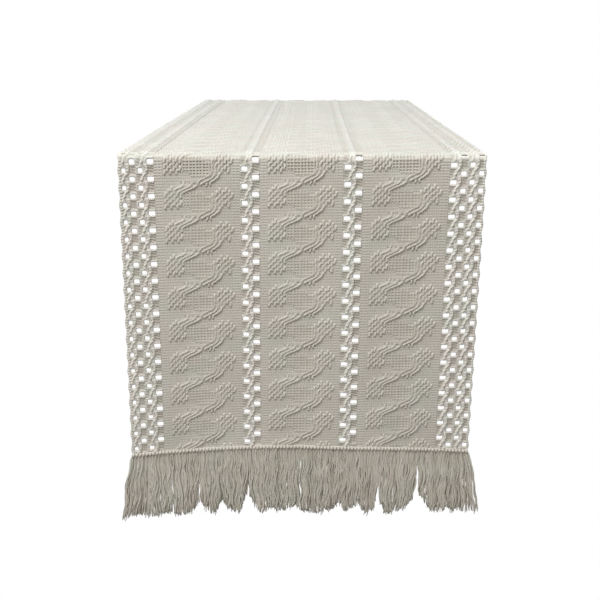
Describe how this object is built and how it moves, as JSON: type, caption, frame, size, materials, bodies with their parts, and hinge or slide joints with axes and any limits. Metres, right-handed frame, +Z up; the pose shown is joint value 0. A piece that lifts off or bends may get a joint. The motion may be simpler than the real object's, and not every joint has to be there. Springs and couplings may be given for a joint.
{
  "type": "table runner",
  "caption": "Openwork cotton table runner with raised cable panels and lace bands, laid flat with a long front drop, a short back drop and fringed ends.",
  "frame": {"origin": "centre of the underside of the part that lies on the table, at table-top height", "axes": "+Z up, X across the runner's width, the long front drop hangs at -Y and the short back drop at +Y"},
  "size_m": [0.305, 0.6492, 0.3356],
  "materials": {
    "cable_panel": "matte undyed cotton, close rows with raised cables",
    "lace": "matte undyed cotton cord, openwork",
    "hem_cord": "matte twined cotton cord",
    "fringe_yarn": "soft loose cotton yarn"
  },
  "bodies": {
    "top": {"left_edge_lace_top": "lace", "left_panel_top": "cable_panel", "left_inner_lace_top": "lace", "centre_panel_top": "cable_panel", "right_inner_lace_top": "lace", "right_panel_top": "cable_panel", "right_edge_lace_top": "lace", "front_fold": "cable_panel", "back_fold": "cable_panel"},
    "front_drop": {"left_edge_lace_front": "lace", "left_panel_front": "cable_panel", "left_inner_lace_front": "lace", "centre_panel_front": "cable_panel", "right_inner_lace_front": "lace", "right_panel_front": "cable_panel", "right_edge_lace_front": "lace", "front_hem": "hem_cord"},
    "front_fringe": {"front_fringe_1": "fringe_yarn", "front_fringe_2": "fringe_yarn", "front_fringe_3": "fringe_yarn", "front_fringe_4": "fringe_yarn", "front_fringe_5": "fringe_yarn", "front_fringe_6": "fringe_yarn", "front_fringe_7": "fringe_yarn", "front_fringe_8": "fringe_yarn"},
    "back_drop": {"left_edge_lace_back": "lace", "left_panel_back": "cable_panel", "left_inner_lace_back": "lace", "centre_panel_back": "cable_panel", "right_inner_lace_back": "lace", "right_panel_back": "cable_panel", "right_edge_lace_back": "lace", "back_hem": "hem_cord"},
    "back_fringe": {"back_fringe_1": "fringe_yarn", "back_fringe_2": "fringe_yarn", "back_fringe_3": "fringe_yarn", "back_fringe_4": "fringe_yarn", "back_fringe_5": "fringe_yarn", "back_fringe_6": "fringe_yarn", "back_fringe_7": "fringe_yarn", "back_fringe_8": "fringe_yarn"}
  },
  "joints": [
    {"name": "front_drop_fold", "type": "hinge", "parent": "top", "child": "front_drop", "pos_m": [0, -0.32, 0], "axis": [-1, 0, 0], "range_deg": [0, 90], "deforming": ["front_fold"]},
    {"name": "front_fringe_swing", "type": "hinge", "parent": "front_drop", "child": "front_fringe", "pos_m": [0, -0.32205, -0.2672], "axis": [-1, 0, 0], "range_deg": [-60, 60]},
    {"name": "back_drop_fold", "type": "hinge", "parent": "top", "child": "back_drop", "pos_m": [0, 0.32, 0], "axis": [1, 0, 0], "range_deg": [0, 90], "deforming": ["back_fold"]},
    {"name": "back_fringe_swing", "type": "hinge", "parent": "back_drop", "child": "back_fringe", "pos_m": [0, 0.32205, -0.0172], "axis": [1, 0, 0], "range_deg": [-60, 60]}
  ]
}
